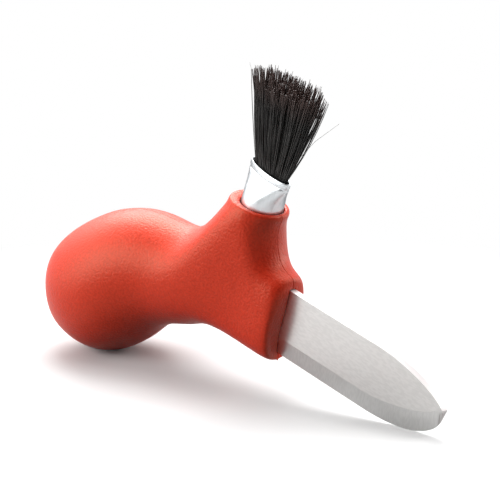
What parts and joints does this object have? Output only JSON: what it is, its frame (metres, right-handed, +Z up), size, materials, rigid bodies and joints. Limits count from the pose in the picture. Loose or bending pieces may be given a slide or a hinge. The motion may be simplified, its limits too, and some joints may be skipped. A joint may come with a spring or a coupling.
{
  "type": "mushroom knife",
  "caption": "Mushroom knife: a short round-tipped steel blade and a flared bristle brush set at right angles in a bulbous red plastic palm handle.",
  "frame": {"origin": "centre of the bounding box on the surface that the knife rests on", "axes": "+X from the handle's bulb towards the blade's tip, +Y towards the left of the blade, +Z up. The knife rests on its bulb and its blade tip with the brush up."},
  "size_m": [0.1564, 0.0432, 0.0997],
  "materials": {
    "red_plastic": "fine spark-eroded grain",
    "satin_steel": "satin ground",
    "bright_aluminium": "bright drawn",
    "setting_resin": "cast resin",
    "black_bristle": "stiff bristle"
  },
  "bodies": {
    "root": {"handle_shell_left": "red_plastic", "handle_shell_right": "red_plastic", "blade": "satin_steel", "tang_pin_front": "satin_steel", "tang_pin_rear": "satin_steel", "brush_ferrule": "bright_aluminium", "bristle_setting": "setting_resin", "bristle_tuft": "black_bristle"}
  },
  "joints": []
}
